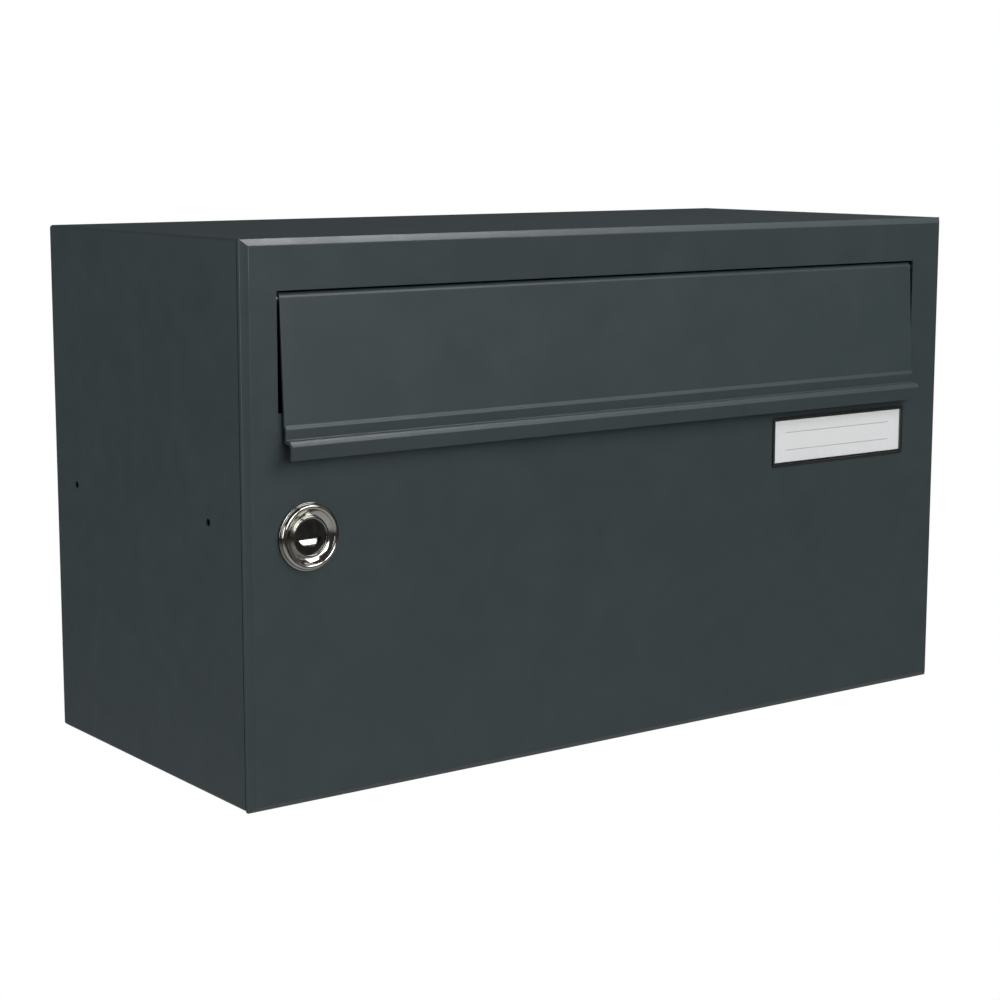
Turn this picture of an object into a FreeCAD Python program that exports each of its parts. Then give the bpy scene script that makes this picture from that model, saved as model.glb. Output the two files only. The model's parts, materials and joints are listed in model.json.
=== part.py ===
import FreeCAD
import Part
import math
import os

# Wall mounted mailbox: a folded sheet-steel case with a full-width front door. The door carries a
# letter flap over its aperture, a cam lock and a name card in a holder.
# Millimetres. The origin is on the wall plane, in the middle of the four wall holes: +X to the right
# as seen from the front, +Y into the wall, +Z up.

V = FreeCAD.Vector

# ---- overall sizes ----
WIDTH = 380.0
HEIGHT = 222.0
DEPTH = 165.0             # wall plane to the door's face

# ---- case ----
SHELL_T = 1.0             # sheet of the wrap: top, bottom and two sides
BEND_R = 0.4              # inner radius of the wrap's folds
BACK_T = 1.0              # back plate, welded inside the wrap's rear edge
MOUTH_T = 1.0             # flat frame, welded inside its front edge
SEAM = 0.4                # gap between the door's rim and the wrap's front edge
HINGE_SEAM = 1.25         # the same by the hinges, where the rim swings past the wrap's corner
HINGE_SEAM_W = 12.0       # width of the door with that wider gap
LIP = 9.0                 # width of that frame: top, bottom and lock side
LIP_HINGE_SIDE = 6.0      # the same on the hinge side
WALL_HOLE_R = 3.5
WALL_HOLE_SPACING_X = 280.0
WALL_HOLE_SPACING_Z = 140.0
LINK_HOLE_R = 1.5         # holes in both sides, for joining boxes in a row
LINK_HOLE_FROM_WALL = 19.4
LINK_HOLE_FROM_FACE = 30.0
DRAIN_HOLE_R = 2.5
DRAIN_HOLE_FROM_SIDE = 40.0
DRAIN_HOLE_FROM_WALL = 30.0

# ---- door ----
DOOR_T = 1.0
BEVEL = 2.5               # 45 degree bevel round the door's face
RIM = 1.75                # straight part of the rim, behind the bevel
APERTURE_FROM_LEFT = 14.5
APERTURE_FROM_RIGHT = 19.7
APERTURE_FROM_TOP = 19.7
APERTURE_HEIGHT = 46.6

# ---- flap: one extruded profile with a hinge eye along its top and a finger lip at its foot ----
FLAP_T = 1.4
FLAP_END_GAP = 1.4        # each end of the flap to the aperture's edge
FLAP_TOP_GAP = 0.8
FLAP_SETBACK = 0.3        # front of the eye, behind the door's face
FLAP_OVERLAP = 4.7        # length of flap below the aperture's lower edge, down to the first step
FLAP_PROUD = 2.4          # front of the flap at that step, in front of the door's face
ROD_R = 1.25
EYE_WALL = 1.0
RUN_GAP = 0.05            # radial running clearance of every pin and shaft
# Steps of the finger lip: (outwards, downwards) from one corner of its front to the next.
LIP_STEPS = [(1.2, 1.3), (-0.2, 4.2), (2.7, 0.2), (1.7, 1.75), (-0.5, 5.55)]
EAR_T = 1.5               # sheet of the rod's two brackets
EAR_EDGE = 2.25           # rod's hole to the bracket's rear edge
EAR_MARGIN = 1.1          # aperture's edge to a bracket
EAR_TOP_EDGE = 1.75       # and to its top edge
EAR_LEAF_W = 10.0
EAR_LEAF_DROP = 2.05      # and down to the welded leaf's top edge
EAR_LEAF_H = 10.6
ROD_END = 2.0             # length of rod outside each bracket
BUMPER_GAP = 0.4          # rubber pad to the part that lands on it
FLAP_BUMPER_R = 1.5
FLAP_BUMPER_FROM_END = 25.0

# ---- door hinge: two vertical pins in the case, with a cranked arm of the door round each ----
HINGE_PIN_R = 2.0
HINGE_EYE_WALL = 1.5
HINGE_SIDE_GAP = 0.45     # eye of an arm to the inside of the case
HINGE_SWEEP_GAP = 0.36    # door's rim to the case's edge, where they pass closest as it opens
ARM_T = 2.0
ARM_UPPER_FROM_TOP = 13.0     # underside of the upper arm, below the top of the box
ARM_LOWER_FROM_BOTTOM = 17.0  # underside of the lower arm, above the bottom of the box
ARM_LEG_CLEAR = 0.5       # arm's leg to the circle that the case's edge sweeps round the pin
ARM_LEG_W = 6.6
ARM_FRONT = 1.2           # front edge of the arm's cross piece, ahead of the pin's axis
ARM_LEAF_W = 14.0
ARM_LEAF_T = 1.5
ARM_LEAF_BELOW = 1.5
ARM_LEAF_H = 10.5
ARM_NOTCH_GAP = 2.0       # gap above and below an arm where it passes the mouth's frame
HINGE_PLAY = 0.3          # free gap along the pin's axis
HINGE_WASHER_T = 0.7
HINGE_WASHER_MARGIN = 0.3     # washer beyond the arm's eye, all round
TAB_T = 2.0
TAB_MARGIN = 0.25         # tab beyond the arm's eye, all round
TAB_LEAF_T = 1.5
TAB_LEAF_H = 10.0
TAB_LEAF_D = 16.0
PIN_HEAD_MARGIN = 1.2     # pin's head beyond its shank, all round
PIN_HEAD_T = 1.5
PIN_TAIL = 1.5            # pin's end below the tab

# ---- lock ----
LOCK_FROM_LEFT = 27.1
LOCK_FROM_TOP = 115.0
BARREL_WALL = 0.85        # barrel's wall at each flat
BARREL_THREAD = 1.5       # barrel's radius beyond its flats
BARREL_LENGTH = 21.5      # behind the door's face
BARREL_HOLE_GAP = 0.2
HEAD_OVERHANG = 4.0       # head beyond the barrel, all round
HEAD_EDGE_T = 0.6
BEAD_MARGIN = 0.8         # raised bead of the lock's head: its foot, in from the head's edge
BEAD_HALF_W = 1.0
BEAD_HEIGHT = 2.4
DISH_FLAT = 0.45          # flat between the dished zone inside the bead and the ring
DISH_HEIGHT = 0.8
RING_WALL = 1.0           # raised ring round the plug
RING_HEIGHT = 1.8
RING_ROUND = 0.35
PLUG_R = 7.1
PLUG_STEP = 1.7           # the plug's tail is smaller in radius by this
COLLAR_L = 3.0            # rear collar that keeps the plug from pulling through
PLUG_RECESS = 0.8         # plug's face, behind the ring
PLUG_PLAY = 0.2
TAIL_SQUARE_STEP = 0.45   # the tail's square, inside its round part, at the corners
KEY_CHORD_BELOW = 0.4     # straight upper edge of the half-moon key mouth, below the lock's axis
KEY_MOUTH_STEP = 0.3      # mouth lower than the shutter's chamber is deep, by this
KEY_MOUTH_T = 0.6         # skin of the plug in front of the chamber
CHAMBER_SIDE_WALL = 1.9   # plug's radius less the half width of the shutter's chamber
CHAMBER_FLOOR_WALL = 3.2  # and less its depth below the lock's axis
CHAMBER_TOP = 0.4         # above the lock's axis
KEYWAY_STEP = 1.0         # keyway narrower than the chamber, at each side
KEYWAY_BELOW = 2.3
KEYWAY_DEPTH = 10.0
SHUTTER_T = 0.6
SHUTTER_TOP_GAP = 0.45    # shutter's free edge to the chamber's top
SHUTTER_SIDE_GAP = 0.3
SHUTTER_END_GAP = 0.1     # shutter's free edge to the chamber's back, when it lies flat
SHUTTER_PIVOT_ABOVE = 0.6  # shutter's hinge line, above the chamber's floor
SHUTTER_PIVOT_BEHIND = 0.9  # and behind the chamber's front
SHUTTER_PIN_R = 0.3
SHUTTER_KNUCKLE_R = 0.55
SHUTTER_TILT = 20.0       # the shutter leans back by this angle from upright
GASKET_T = 0.5
GASKET_MARGIN = 0.9       # gasket's edge, in from the head's edge
LOCK_WASHER_MARGIN = 0.7  # the same for the washer
LOCK_WASHER_T = 1.0
NUT_T = 4.0
NUT_WALL = 2.5            # nut's wall at the middle of a flat, to the barrel's thread
CAM_T = 2.0
CAM_SIDE = 3.5            # cam beyond the tail's square, at each side
CAM_WALL_GAP = 4.1        # end of the turned cam to the case's side
CAM_GAP = 0.4             # barrel's end to the cam
CAM_WASHER_R = 6.0
CAM_WASHER_T = 1.0
SCREW_R = 2.0
SCREW_L = 10.0
SCREW_HEAD_R = 3.6
SCREW_HEAD_T = 2.4
STRIKE_T = 1.5
STRIKE_LOCK_GAP = 3.6     # strike plate's edge to the side of the barrel
STRIKE_HALF_H = 14.0
STRIKE_GAP = 0.5          # strike plate to the cam behind it

# ---- name card ----
CARD_W = 81.2
CARD_H = 19.2
CARD_CENTRE_FROM_RIGHT = 65.8
CARD_CENTRE_FROM_TOP = 98.8
CARD_T = 0.4
HOLDER_RIM = 1.2          # black rim seen round the card
HOLDER_WALL = 0.8
HOLDER_PROUD = 0.8
HOLDER_DEPTH = 3.6        # behind the door's face
WINDOW_T = 0.8
WINDOW_RECESS = 0.4
BACKING_T = 1.2
FIT_GAP = 0.1             # gap of a part set into another
BARB_W = 8.0
BARB_L = 1.2
BARB_H = 0.9
BARB_FROM_CENTRE = 25.0

# ---- pads that the door lands on ----
DOOR_BUMPER_R = 3.0
DOOR_BUMPER_ACROSS = 0.6  # centre of a pad, as a share of the width of the mouth's frame

# ---- places worked out from the sizes above ----
LEFT = -WIDTH / 2
RIGHT = WIDTH / 2
TOP = HEIGHT / 2
BOTTOM = -HEIGHT / 2
FACE_Y = -DEPTH
SHEET_BACK_Y = FACE_Y + DOOR_T
RIM_Y = FACE_Y + BEVEL + RIM
CASE_FRONT_Y = RIM_Y + SEAM
HINGE_RIM_Y = CASE_FRONT_Y - HINGE_SEAM

APERTURE_LEFT = LEFT + APERTURE_FROM_LEFT
APERTURE_RIGHT = RIGHT - APERTURE_FROM_RIGHT
APERTURE_TOP = TOP - APERTURE_FROM_TOP
APERTURE_BOTTOM = APERTURE_TOP - APERTURE_HEIGHT

FLAP_LEFT = APERTURE_LEFT + FLAP_END_GAP
FLAP_RIGHT = APERTURE_RIGHT - FLAP_END_GAP
EYE_R = ROD_R + RUN_GAP + EYE_WALL
ROD_Y = FACE_Y + FLAP_SETBACK + EYE_R
ROD_Z = APERTURE_TOP - FLAP_TOP_GAP - EYE_R

HINGE_EYE_R = HINGE_PIN_R + RUN_GAP + HINGE_EYE_WALL
HINGE_INSET = SHELL_T + HINGE_SIDE_GAP + HINGE_EYE_R    # pin's axis, in from the outside of the hinge side
HINGE_SAG = HINGE_SEAM - HINGE_SWEEP_GAP        # how far the rim's corner may swing back towards the case
HINGE_SETBACK = (HINGE_INSET ** 2 + HINGE_SAG ** 2) / (2 * HINGE_SAG)   # pin's axis, behind the door's rim
HINGE_X = RIGHT - HINGE_INSET
HINGE_Y = HINGE_RIM_Y + HINGE_SETBACK
HINGE_WASHER_R = HINGE_EYE_R + HINGE_WASHER_MARGIN
TAB_R = HINGE_EYE_R + TAB_MARGIN
PIN_HEAD_R = HINGE_PIN_R + PIN_HEAD_MARGIN
ARM_UPPER_Z = TOP - ARM_UPPER_FROM_TOP
ARM_LOWER_Z = BOTTOM + ARM_LOWER_FROM_BOTTOM

LOCK_X = LEFT + LOCK_FROM_LEFT
LOCK_Z = TOP - LOCK_FROM_TOP
BARREL_FLAT = PLUG_R + RUN_GAP + BARREL_WALL    # axis to each flat of the barrel
BARREL_R = BARREL_FLAT + BARREL_THREAD
HEAD_R = BARREL_R + HEAD_OVERHANG
BEAD_OUT_R = HEAD_R - BEAD_MARGIN
BEAD_TOP_R = BEAD_OUT_R - BEAD_HALF_W
BEAD_IN_R = BEAD_TOP_R - BEAD_HALF_W
RING_R = PLUG_R + RUN_GAP + RING_WALL
DISH_R = RING_R + DISH_FLAT
PLUG_TAIL_R = PLUG_R - PLUG_STEP
TAIL_SQUARE = (PLUG_TAIL_R - TAIL_SQUARE_STEP) * math.sqrt(2)
CAM_W = TAIL_SQUARE + 2 * CAM_SIDE
CAM_REACH = LOCK_FROM_LEFT - SHELL_T - CAM_WALL_GAP
NUT_ACROSS_FLATS = 2 * (BARREL_R + NUT_WALL)
GASKET_OUT_R = HEAD_R - GASKET_MARGIN
LOCK_WASHER_R = HEAD_R - LOCK_WASHER_MARGIN
STRIKE_REACH = LOCK_FROM_LEFT - SHELL_T - BARREL_R - STRIKE_LOCK_GAP
CHAMBER_HALF = PLUG_R - CHAMBER_SIDE_WALL
CHAMBER_BOTTOM = PLUG_R - CHAMBER_FLOOR_WALL    # below the lock's axis
KEYWAY_HALF = CHAMBER_HALF - KEYWAY_STEP
KEY_CHORD_HALF = CHAMBER_HALF
KEY_MOUTH_H = CHAMBER_BOTTOM - KEY_MOUTH_STEP
SHUTTER_HALF = CHAMBER_HALF - SHUTTER_SIDE_GAP
SHUTTER_PIVOT_BELOW = CHAMBER_BOTTOM - SHUTTER_PIVOT_ABOVE
SHUTTER_L = (SHUTTER_PIVOT_BELOW + CHAMBER_TOP - SHUTTER_TOP_GAP) / math.cos(math.radians(SHUTTER_TILT))
CHAMBER_DEPTH = SHUTTER_PIVOT_BEHIND + SHUTTER_L + SHUTTER_END_GAP
HEAD_BACK = GASKET_T                       # outwards from the door's face
RING_TOP = HEAD_BACK + RING_HEIGHT
PLUG_FACE = RING_TOP - PLUG_RECESS
CAM_FRONT = -BARREL_LENGTH - CAM_GAP
CAM_BACK = CAM_FRONT - CAM_T

CARD_X = RIGHT - CARD_CENTRE_FROM_RIGHT
CARD_Z = TOP - CARD_CENTRE_FROM_TOP


# ---- helpers ----
def box(x0, x1, y0, y1, z0, z1):
    """A block between two corners."""
    return Part.makeBox(x1 - x0, y1 - y0, z1 - z0, V(x0, y0, z0))


def rod_along(axis, radius, length, start):
    """A round bar from start, of the given length along axis."""
    return Part.makeCylinder(radius, length, start, axis)


def prism(points, along):
    """The polygon through points, drawn out by the vector along."""
    return Part.Face(Part.makePolygon(points + points[:1])).extrude(along)


def fillet_along(shape, radius, axis):
    """Round the straight edges of shape that run along axis."""
    edges = [e for e in shape.Edges if abs(e.tangentAt(e.FirstParameter).dot(axis)) > 0.999]
    return shape.makeFillet(radius, edges)


def y_at(outwards):
    """Y of a plane so far in front of the door's face; negative is behind it."""
    return FACE_Y - outwards


def lock_cylinder(radius, front, back):
    """A cylinder on the lock's axis between two depths, each measured outwards from the door's face."""
    return rod_along(V(0, 1, 0), radius, front - back, V(LOCK_X, y_at(front), LOCK_Z))


def lock_box(half_x, front, back, z_low, z_high):
    """A block about the lock's axis: half its width, two depths and two heights from the axis."""
    return box(LOCK_X - half_x, LOCK_X + half_x, y_at(front), y_at(back), LOCK_Z + z_low, LOCK_Z + z_high)


# ---- case ----
def body_shell():
    """The wrap of top, bottom and sides."""
    outer = fillet_along(box(LEFT, RIGHT, CASE_FRONT_Y, 0, BOTTOM, TOP), BEND_R + SHELL_T, V(0, 1, 0))
    shell = outer.cut(wrap_inside(CASE_FRONT_Y - 1, 1))
    for from_wall in (LINK_HOLE_FROM_WALL, DEPTH - LINK_HOLE_FROM_FACE):
        hole = rod_along(V(1, 0, 0), LINK_HOLE_R, WIDTH + 2, V(LEFT - 1, -from_wall, 0))
        shell = shell.cut(hole)
    for x in (LEFT + DRAIN_HOLE_FROM_SIDE, RIGHT - DRAIN_HOLE_FROM_SIDE):
        for y in (-DRAIN_HOLE_FROM_WALL, CASE_FRONT_Y + DRAIN_HOLE_FROM_WALL):
            drain_start = V(x, y, BOTTOM - SHELL_T / 2)
            shell = shell.cut(rod_along(V(0, 0, 1), DRAIN_HOLE_R, 2 * SHELL_T, drain_start))
    return shell


def wrap_inside(front_y, back_y):
    """A block that fills the wrap between two depths."""
    block = box(LEFT + SHELL_T, RIGHT - SHELL_T, front_y, back_y, BOTTOM + SHELL_T, TOP - SHELL_T)
    return fillet_along(block, BEND_R, V(0, 1, 0))


def mouth_sheets():
    """The flat frame round the mouth, and the strip of it between the notches for the door's arms."""
    mouth = box(LEFT + SHELL_T + LIP, RIGHT - SHELL_T - LIP_HINGE_SIDE, CASE_FRONT_Y - 1,
                CASE_FRONT_Y + MOUTH_T + 1, BOTTOM + SHELL_T + LIP, TOP - SHELL_T - LIP)
    ring = wrap_inside(CASE_FRONT_Y, CASE_FRONT_Y + MOUTH_T).cut(mouth)
    for z in (ARM_UPPER_Z, ARM_LOWER_Z):
        notch = box(RIGHT - SHELL_T - LIP_HINGE_SIDE - 1, RIGHT, CASE_FRONT_Y - 1,
                    CASE_FRONT_Y + MOUTH_T + 1, z - ARM_NOTCH_GAP, z + ARM_T + ARM_NOTCH_GAP)
        ring = ring.cut(notch)
    return sorted(ring.Solids, key=lambda solid: -solid.Volume)


def back_panel():
    """The back plate, with four holes for the wall screws."""
    plate = wrap_inside(-BACK_T, 0)
    for sx in (-1, 1):
        for sz in (-1, 1):
            start = V(sx * WALL_HOLE_SPACING_X / 2, -BACK_T - 1, sz * WALL_HOLE_SPACING_Z / 2)
            plate = plate.cut(rod_along(V(0, 1, 0), WALL_HOLE_R, BACK_T + 2, start))
    return plate


def hinge_tab(arm_z):
    """The case's half of one hinge: a tab under the door's arm, on a leaf welded to the side."""
    top = arm_z - HINGE_PLAY - HINGE_WASHER_T
    wall_x = RIGHT - SHELL_T
    tab = rod_along(V(0, 0, 1), TAB_R, TAB_T, V(HINGE_X, HINGE_Y, top - TAB_T))
    tab = tab.fuse(box(HINGE_X, wall_x, HINGE_Y - TAB_R, HINGE_Y + TAB_R, top - TAB_T, top))
    leaf_y = HINGE_Y - TAB_LEAF_D / 2
    leaf = box(wall_x - TAB_LEAF_T, wall_x, leaf_y, leaf_y + TAB_LEAF_D, top - TAB_T - TAB_LEAF_H, top)
    bore = rod_along(V(0, 0, 1), HINGE_PIN_R, TAB_T + 2, V(HINGE_X, HINGE_Y, top - TAB_T - 1))
    return tab.fuse(leaf).cut(bore).removeSplitter()


def hinge_pin(arm_z):
    """A headed pin, pressed into the tab and standing up through the door's arm."""
    head_z = arm_z + ARM_T + HINGE_PLAY
    tail_z = arm_z - HINGE_PLAY - HINGE_WASHER_T - TAB_T - PIN_TAIL
    shank = rod_along(V(0, 0, 1), HINGE_PIN_R, head_z - tail_z, V(HINGE_X, HINGE_Y, tail_z))
    head = rod_along(V(0, 0, 1), PIN_HEAD_R, PIN_HEAD_T, V(HINGE_X, HINGE_Y, head_z))
    return shank.fuse(head).removeSplitter()


def hinge_washer(arm_z):
    """A plain washer that the door's arm turns on."""
    start = V(HINGE_X, HINGE_Y, arm_z - HINGE_PLAY - HINGE_WASHER_T)
    disc = rod_along(V(0, 0, 1), HINGE_WASHER_R, HINGE_WASHER_T, start)
    return disc.cut(rod_along(V(0, 0, 1), HINGE_PIN_R, HINGE_WASHER_T, start))


def latch_strike():
    """An angle on the case's left side: the cam turns in behind its plate."""
    wall_x = LEFT + SHELL_T
    plate_back = y_at(CAM_FRONT) - STRIKE_GAP
    z0, z1 = LOCK_Z - STRIKE_HALF_H, LOCK_Z + STRIKE_HALF_H
    plate = box(wall_x, wall_x + STRIKE_REACH, plate_back - STRIKE_T, plate_back, z0, z1)
    leaf = box(wall_x, wall_x + STRIKE_T, CASE_FRONT_Y + MOUTH_T, plate_back, z0, z1)
    return plate.fuse(leaf).removeSplitter()


def door_bumpers():
    """Rubber pads on the mouth's frame, just short of the back of the door's sheet."""
    inset = SHELL_T + LIP * DOOR_BUMPER_ACROSS
    x, z = LEFT + inset, TOP - inset
    height = CASE_FRONT_Y - SHEET_BACK_Y - BUMPER_GAP
    places = [(x, z), (x, -z), (0, z), (0, -z)]
    pads = [rod_along(V(0, -1, 0), DOOR_BUMPER_R, height, V(x, CASE_FRONT_Y, z)) for x, z in places]
    return Part.makeCompound(pads)


# ---- door ----
def bevelled_block(inset, bevel, front, back):
    """A block the size of the door less inset all round, with a bevel round its front face."""
    block = box(LEFT + inset, RIGHT - inset, front, back, BOTTOM + inset, TOP - inset)
    edges = [e for e in block.Edges if e.BoundBox.YMax < front + 0.01]
    return block.makeChamfer(bevel, edges)


def lock_hole():
    """The door's hole for the lock: round, with two flats."""
    round_hole = lock_cylinder(BARREL_R + BARREL_HOLE_GAP, 1, -DOOR_T - 1)
    flats = lock_box(BARREL_FLAT + BARREL_HOLE_GAP, 1, -DOOR_T - 1, -2 * BARREL_R, 2 * BARREL_R)
    return round_hole.common(flats)


def holder_outline(margin, front, back):
    """A block round the name card: the card's size and a margin all round."""
    return box(CARD_X - CARD_W / 2 - margin, CARD_X + CARD_W / 2 + margin, y_at(front), y_at(back),
               CARD_Z - CARD_H / 2 - margin, CARD_Z + CARD_H / 2 + margin)


def door_panel():
    """The door: a shallow pan with a bevelled edge, and cut-outs for flap, lock and name card."""
    corner = DOOR_T * (2 - math.sqrt(2))    # keeps the sheet's thickness the same through the bevel
    outer = bevelled_block(0, BEVEL, FACE_Y, RIM_Y)
    inner = bevelled_block(DOOR_T, BEVEL - corner, SHEET_BACK_Y, RIM_Y + 1)
    front, back = FACE_Y - 1, SHEET_BACK_Y + 1
    aperture = box(APERTURE_LEFT, APERTURE_RIGHT, front, back, APERTURE_BOTTOM, APERTURE_TOP)
    card_hole = holder_outline(HOLDER_WALL + FIT_GAP, 1, -DOOR_T - 1)
    hinge_seam = box(RIGHT - HINGE_SEAM_W, RIGHT + 1, HINGE_RIM_Y, RIM_Y + 1, BOTTOM - 1, TOP + 1)
    return outer.cut(inner).cut(aperture).cut(card_hole).cut(lock_hole()).cut(hinge_seam)


def door_arm(arm_z):
    """The door's half of one hinge: a cranked arm that reaches round the edge of the case."""
    case_edge = CASE_FRONT_Y - HINGE_Y
    sweep_r = math.hypot(HINGE_INSET, case_edge)
    leg_x = HINGE_X - sweep_r - ARM_LEG_CLEAR
    front_y, back_y = HINGE_Y - ARM_FRONT, HINGE_Y + HINGE_EYE_R
    leg = box(leg_x - ARM_LEG_W, leg_x, SHEET_BACK_Y, back_y, arm_z, arm_z + ARM_T)
    leg = fillet_corner(leg, leg_x - ARM_LEG_W, back_y, HINGE_EYE_R)
    cross = box(leg_x - 1, HINGE_X, front_y, back_y, arm_z, arm_z + ARM_T)
    eye = rod_along(V(0, 0, 1), HINGE_EYE_R, ARM_T, V(HINGE_X, HINGE_Y, arm_z))
    leaf_z = arm_z - ARM_LEAF_BELOW
    leaf_back_y = SHEET_BACK_Y + ARM_LEAF_T
    leaf = box(leg_x - ARM_LEAF_W, leg_x, SHEET_BACK_Y, leaf_back_y, leaf_z, leaf_z + ARM_LEAF_H)
    bore = rod_along(V(0, 0, 1), HINGE_PIN_R + RUN_GAP, ARM_T + 2, V(HINGE_X, HINGE_Y, arm_z - 1))
    return leg.fuse(cross).fuse(eye).fuse(leaf).cut(bore).removeSplitter()


def fillet_corner(shape, x, y, radius):
    """Round the one upright edge of shape at x, y."""
    edges = [e for e in shape.Edges if e.BoundBox.XLength < 0.01 and e.BoundBox.YLength < 0.01
             and abs(e.BoundBox.XMin - x) < 0.01 and abs(e.BoundBox.YMin - y) < 0.01]
    return shape.makeFillet(radius, edges)


# ---- flap ----
def flap_front():
    """Corners of the flap's front as (outwards from the door's face, z), from the eye down."""
    eye_out, eye_z = FACE_Y - ROD_Y, ROD_Z
    foot = (FLAP_PROUD, APERTURE_BOTTOM - FLAP_OVERLAP)
    reach = math.hypot(foot[0] - eye_out, foot[1] - eye_z)
    turn = math.atan2(foot[1] - eye_z, foot[0] - eye_out) + math.acos(EYE_R / reach)
    corners = [(eye_out + EYE_R * math.cos(turn), eye_z + EYE_R * math.sin(turn)), foot]
    for out, down in LIP_STEPS:
        last = corners[-1]
        corners.append((last[0] + out, last[1] - down))
    return corners


def offset_chain(chain, distance):
    """The chain moved sideways by distance, to its right as it is walked, with mitred corners."""
    lines = []
    for (u0, w0), (u1, w1) in zip(chain, chain[1:]):
        length = math.hypot(u1 - u0, w1 - w0)
        lines.append(((w1 - w0) / length, -(u1 - u0) / length))
    moved = []
    for i, (u, w) in enumerate(chain):
        n0 = lines[max(i - 1, 0)]
        n1 = lines[min(i, len(lines) - 1)]
        share = distance / (1 + n0[0] * n1[0] + n0[1] * n1[1])
        moved.append((u + share * (n0[0] + n1[0]), w + share * (n0[1] + n1[1])))
    return moved


def flap_plate():
    """The flap: sheet-like profile, eye and bore, drawn along X."""
    front = flap_front()
    outline = front + offset_chain(front, FLAP_T)[::-1]
    length = FLAP_RIGHT - FLAP_LEFT
    plate = prism([V(FLAP_LEFT, y_at(u), w) for u, w in outline], V(length, 0, 0))
    eye = rod_along(V(1, 0, 0), EYE_R, length, V(FLAP_LEFT, ROD_Y, ROD_Z))
    bore = rod_along(V(1, 0, 0), ROD_R + RUN_GAP, length + 2, V(FLAP_LEFT - 1, ROD_Y, ROD_Z))
    return plate.fuse(eye).cut(bore).removeSplitter()


def flap_bracket(side):
    """One bracket of the flap's rod, at the left (-1) or right (1) end of the aperture."""
    inner_x = APERTURE_RIGHT + EAR_MARGIN if side > 0 else APERTURE_LEFT - EAR_MARGIN
    leaf_top = ROD_Z - ROD_R - EAR_LEAF_DROP
    foot_z = leaf_top - EAR_LEAF_H
    ear_x = sorted((inner_x, inner_x + side * EAR_T))
    leaf_x = sorted((inner_x, inner_x + side * EAR_LEAF_W))
    ear = box(*ear_x, SHEET_BACK_Y, ROD_Y + ROD_R + EAR_EDGE, foot_z, ROD_Z + ROD_R + EAR_TOP_EDGE)
    leaf = box(*leaf_x, SHEET_BACK_Y, SHEET_BACK_Y + EAR_T, foot_z, leaf_top)
    bore = rod_along(V(1, 0, 0), ROD_R, EAR_T + 2, V(ear_x[0] - 1, ROD_Y, ROD_Z))
    return ear.fuse(leaf).cut(bore).removeSplitter()


def flap_rod():
    """The steel rod that the flap turns on, held at both ends in the brackets."""
    start = APERTURE_LEFT - EAR_MARGIN - EAR_T - ROD_END
    end = APERTURE_RIGHT + EAR_MARGIN + EAR_T + ROD_END
    return rod_along(V(1, 0, 0), ROD_R, end - start, V(start, ROD_Y, ROD_Z))


def flap_bumpers():
    """Two rubber pads on the door's face, inside the foot of the flap."""
    (upper_out, upper_z), (lower_out, lower_z) = offset_chain(flap_front(), FLAP_T)[2:4]
    z = (upper_z + lower_z) / 2
    height = min(upper_out, lower_out) - BUMPER_GAP
    pads = []
    for x in (FLAP_LEFT + FLAP_BUMPER_FROM_END, FLAP_RIGHT - FLAP_BUMPER_FROM_END):
        pads.append(rod_along(V(0, -1, 0), FLAP_BUMPER_R, height, V(x, FACE_Y, z)))
    return Part.makeCompound(pads)


# ---- lock ----
def lock_head():
    """The lock's round head: thin edge, raised bead, dished zone and a ring round the plug."""
    def at(radius, height):
        return V(LOCK_X + radius, y_at(HEAD_BACK + height), LOCK_Z)

    bead_foot = at(BEAD_OUT_R, HEAD_EDGE_T)
    bead_in = at(BEAD_IN_R, BEAD_HEIGHT / 2 + DISH_HEIGHT / 2)
    ring_cut = RING_ROUND * (1 - math.sqrt(0.5))
    ring_side = at(RING_R, RING_HEIGHT - RING_ROUND)
    ring_mid = at(RING_R - ring_cut, RING_HEIGHT - ring_cut)
    ring_top = at(RING_R - RING_ROUND, RING_HEIGHT)
    edges = [
        Part.makeLine(at(0, 0), at(HEAD_R, 0)),
        Part.makeLine(at(HEAD_R, 0), at(HEAD_R, HEAD_EDGE_T)),
        Part.makeLine(at(HEAD_R, HEAD_EDGE_T), bead_foot),
        Part.Arc(bead_foot, at(BEAD_TOP_R, BEAD_HEIGHT), bead_in).toShape(),
        Part.makeLine(bead_in, at(DISH_R, DISH_HEIGHT)),
        Part.makeLine(at(DISH_R, DISH_HEIGHT), at(RING_R, DISH_HEIGHT)),
        Part.makeLine(at(RING_R, DISH_HEIGHT), ring_side),
        Part.Arc(ring_side, ring_mid, ring_top).toShape(),
        Part.makeLine(ring_top, at(0, RING_HEIGHT)),
        Part.makeLine(at(0, RING_HEIGHT), at(0, 0)),
    ]
    return Part.Face(Part.Wire(edges)).revolve(V(LOCK_X, FACE_Y, LOCK_Z), V(0, 1, 0), 360)


def lock_housing():
    """The chromed housing: head in front of the door, flatted barrel behind, stepped bore."""
    barrel = lock_cylinder(BARREL_R, HEAD_BACK, -BARREL_LENGTH)
    barrel = barrel.common(lock_box(BARREL_FLAT, HEAD_BACK, -BARREL_LENGTH, -BARREL_R - 1, BARREL_R + 1))
    collar_front = -BARREL_LENGTH + COLLAR_L
    bore = lock_cylinder(PLUG_R + RUN_GAP, RING_TOP + 1, collar_front)
    tail_bore = lock_cylinder(PLUG_TAIL_R + RUN_GAP, collar_front, -BARREL_LENGTH - 1)
    return lock_head().fuse(barrel).cut(bore).cut(tail_bore).removeSplitter()


def lock_gasket():
    """A rubber ring between the lock's head and the door."""
    disc = lock_cylinder(GASKET_OUT_R, GASKET_T, 0)
    return disc.cut(lock_cylinder(BARREL_R + BARREL_HOLE_GAP, GASKET_T, 0))


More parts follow.
